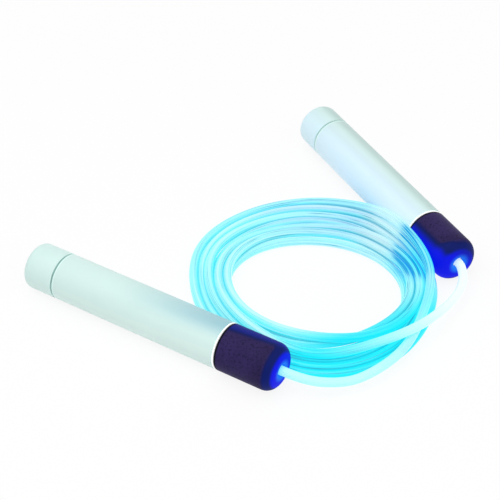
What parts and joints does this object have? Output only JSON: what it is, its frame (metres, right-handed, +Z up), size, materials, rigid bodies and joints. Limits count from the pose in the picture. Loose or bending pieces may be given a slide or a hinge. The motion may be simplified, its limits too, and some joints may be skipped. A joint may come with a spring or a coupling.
{
  "type": "jump rope",
  "caption": "Light-up jump rope: two torch-like round handles with dark noses and rear caps, joined by one coiled clear glowing cord that swivels in each nose.",
  "frame": {"origin": "on the surface that the rope lies on, under the middle of the box round both handles", "axes": "+Z up from the surface; +X to the right and +Y away, as seen from the front with the coil between the handles"},
  "size_m": [0.2564, 0.2502, 0.027],
  "materials": {
    "mint_plastic": "satin moulded plastic, pale mint",
    "violet_plastic": "satin moulded plastic, dark violet-navy",
    "white_ring": "white plastic ring",
    "grey_rubber": "soft grey-green rubber",
    "white_nylon": "nylon",
    "black_plastic": "moulded plastic",
    "bright_steel": "plated steel",
    "brass": "plain brass",
    "cell_jacket": "plain dark jacket",
    "board_green": "lacquered board",
    "lamp_resin": "clear resin, lit blue",
    "reflector": "bright plated plastic",
    "clear_cord": "clear side-lit plastic, glowing cyan"
  },
  "bodies": {
    "rope": {"rope_coil": "clear_cord", "rope_tail_a": "clear_cord", "rope_ferrule_a": "brass", "thrust_washer_a": "bright_steel", "rope_tail_b": "clear_cord", "rope_ferrule_b": "brass", "thrust_washer_b": "bright_steel"},
    "handle_a": {"handle_tube_a": "mint_plastic", "nose_cap_a": "violet_plastic", "nose_ring_a": "white_ring", "swivel_bush_a": "white_nylon", "lamp_a": "lamp_resin", "light_cup_a": "reflector", "lamp_board_a": "board_green", "contact_plate_a": "brass", "cell_front_a": "cell_jacket", "cell_rear_a": "cell_jacket", "battery_sleeve_a": "black_plastic", "return_strip_a": "brass"},
    "cap_gasket_a": {"cap_gasket_a": "grey_rubber"},
    "rear_cap_a": {"rear_cap_a": "mint_plastic", "switch_module_a": "black_plastic", "contact_spring_a": "bright_steel", "contact_ring_a": "brass"},
    "button_a": {"switch_button_a": "grey_rubber"},
    "handle_b": {"handle_tube_b": "mint_plastic", "nose_cap_b": "violet_plastic", "nose_ring_b": "white_ring", "swivel_bush_b": "white_nylon", "lamp_b": "lamp_resin", "light_cup_b": "reflector", "lamp_board_b": "board_green", "contact_plate_b": "brass", "cell_front_b": "cell_jacket", "cell_rear_b": "cell_jacket", "battery_sleeve_b": "black_plastic", "return_strip_b": "brass"},
    "cap_gasket_b": {"cap_gasket_b": "grey_rubber"},
    "rear_cap_b": {"rear_cap_b": "mint_plastic", "switch_module_b": "black_plastic", "contact_spring_b": "bright_steel", "contact_ring_b": "brass"},
    "button_b": {"switch_button_b": "grey_rubber"}
  },
  "joints": [
    {"name": "swivel_a", "type": "hinge", "parent": "rope", "child": "handle_a", "pos_m": [0.0162, -0.11645, 0.0135], "axis": [0.8387, -0.5446, 0], "continuous": true},
    {"name": "cap_back_off_a", "type": "slide", "parent": "handle_a", "child": "cap_gasket_a", "axis": [-0.8387, 0.5446, 0], "range_m": [0, 0.006]},
    {"name": "cap_unscrew_a", "type": "hinge", "parent": "cap_gasket_a", "child": "rear_cap_a", "pos_m": [-0.10541, -0.03748, 0.0135], "axis": [-0.8387, 0.5446, 0], "range_deg": [0, 360]},
    {"name": "button_press_a", "type": "slide", "parent": "rear_cap_a", "child": "button_a", "axis": [0.8387, -0.5446, 0], "range_m": [0, 0.0015], "stiffness_N_per_m": 600},
    {"name": "swivel_b", "type": "hinge", "parent": "rope", "child": "handle_b", "pos_m": [0.11873, -0.02626, 0.0135], "axis": [0.4617, -0.887, 0], "continuous": true},
    {"name": "cap_back_off_b", "type": "slide", "parent": "handle_b", "child": "cap_gasket_b", "axis": [-0.4617, 0.887, 0], "range_m": [0, 0.006]},
    {"name": "cap_unscrew_b", "type": "hinge", "parent": "cap_gasket_b", "child": "rear_cap_b", "pos_m": [0.05178, 0.10236, 0.0135], "axis": [-0.4617, 0.887, 0], "range_deg": [0, 360]},
    {"name": "button_press_b", "type": "slide", "parent": "rear_cap_b", "child": "button_b", "axis": [0.4617, -0.887, 0], "range_m": [0, 0.0015], "stiffness_N_per_m": 600}
  ],
  "couplings": [
    {"joint": "cap_back_off_a", "follows": "cap_unscrew_a", "m_per_rad": 0.000954},
    {"joint": "cap_back_off_b", "follows": "cap_unscrew_b", "m_per_rad": 0.000954}
  ]
}
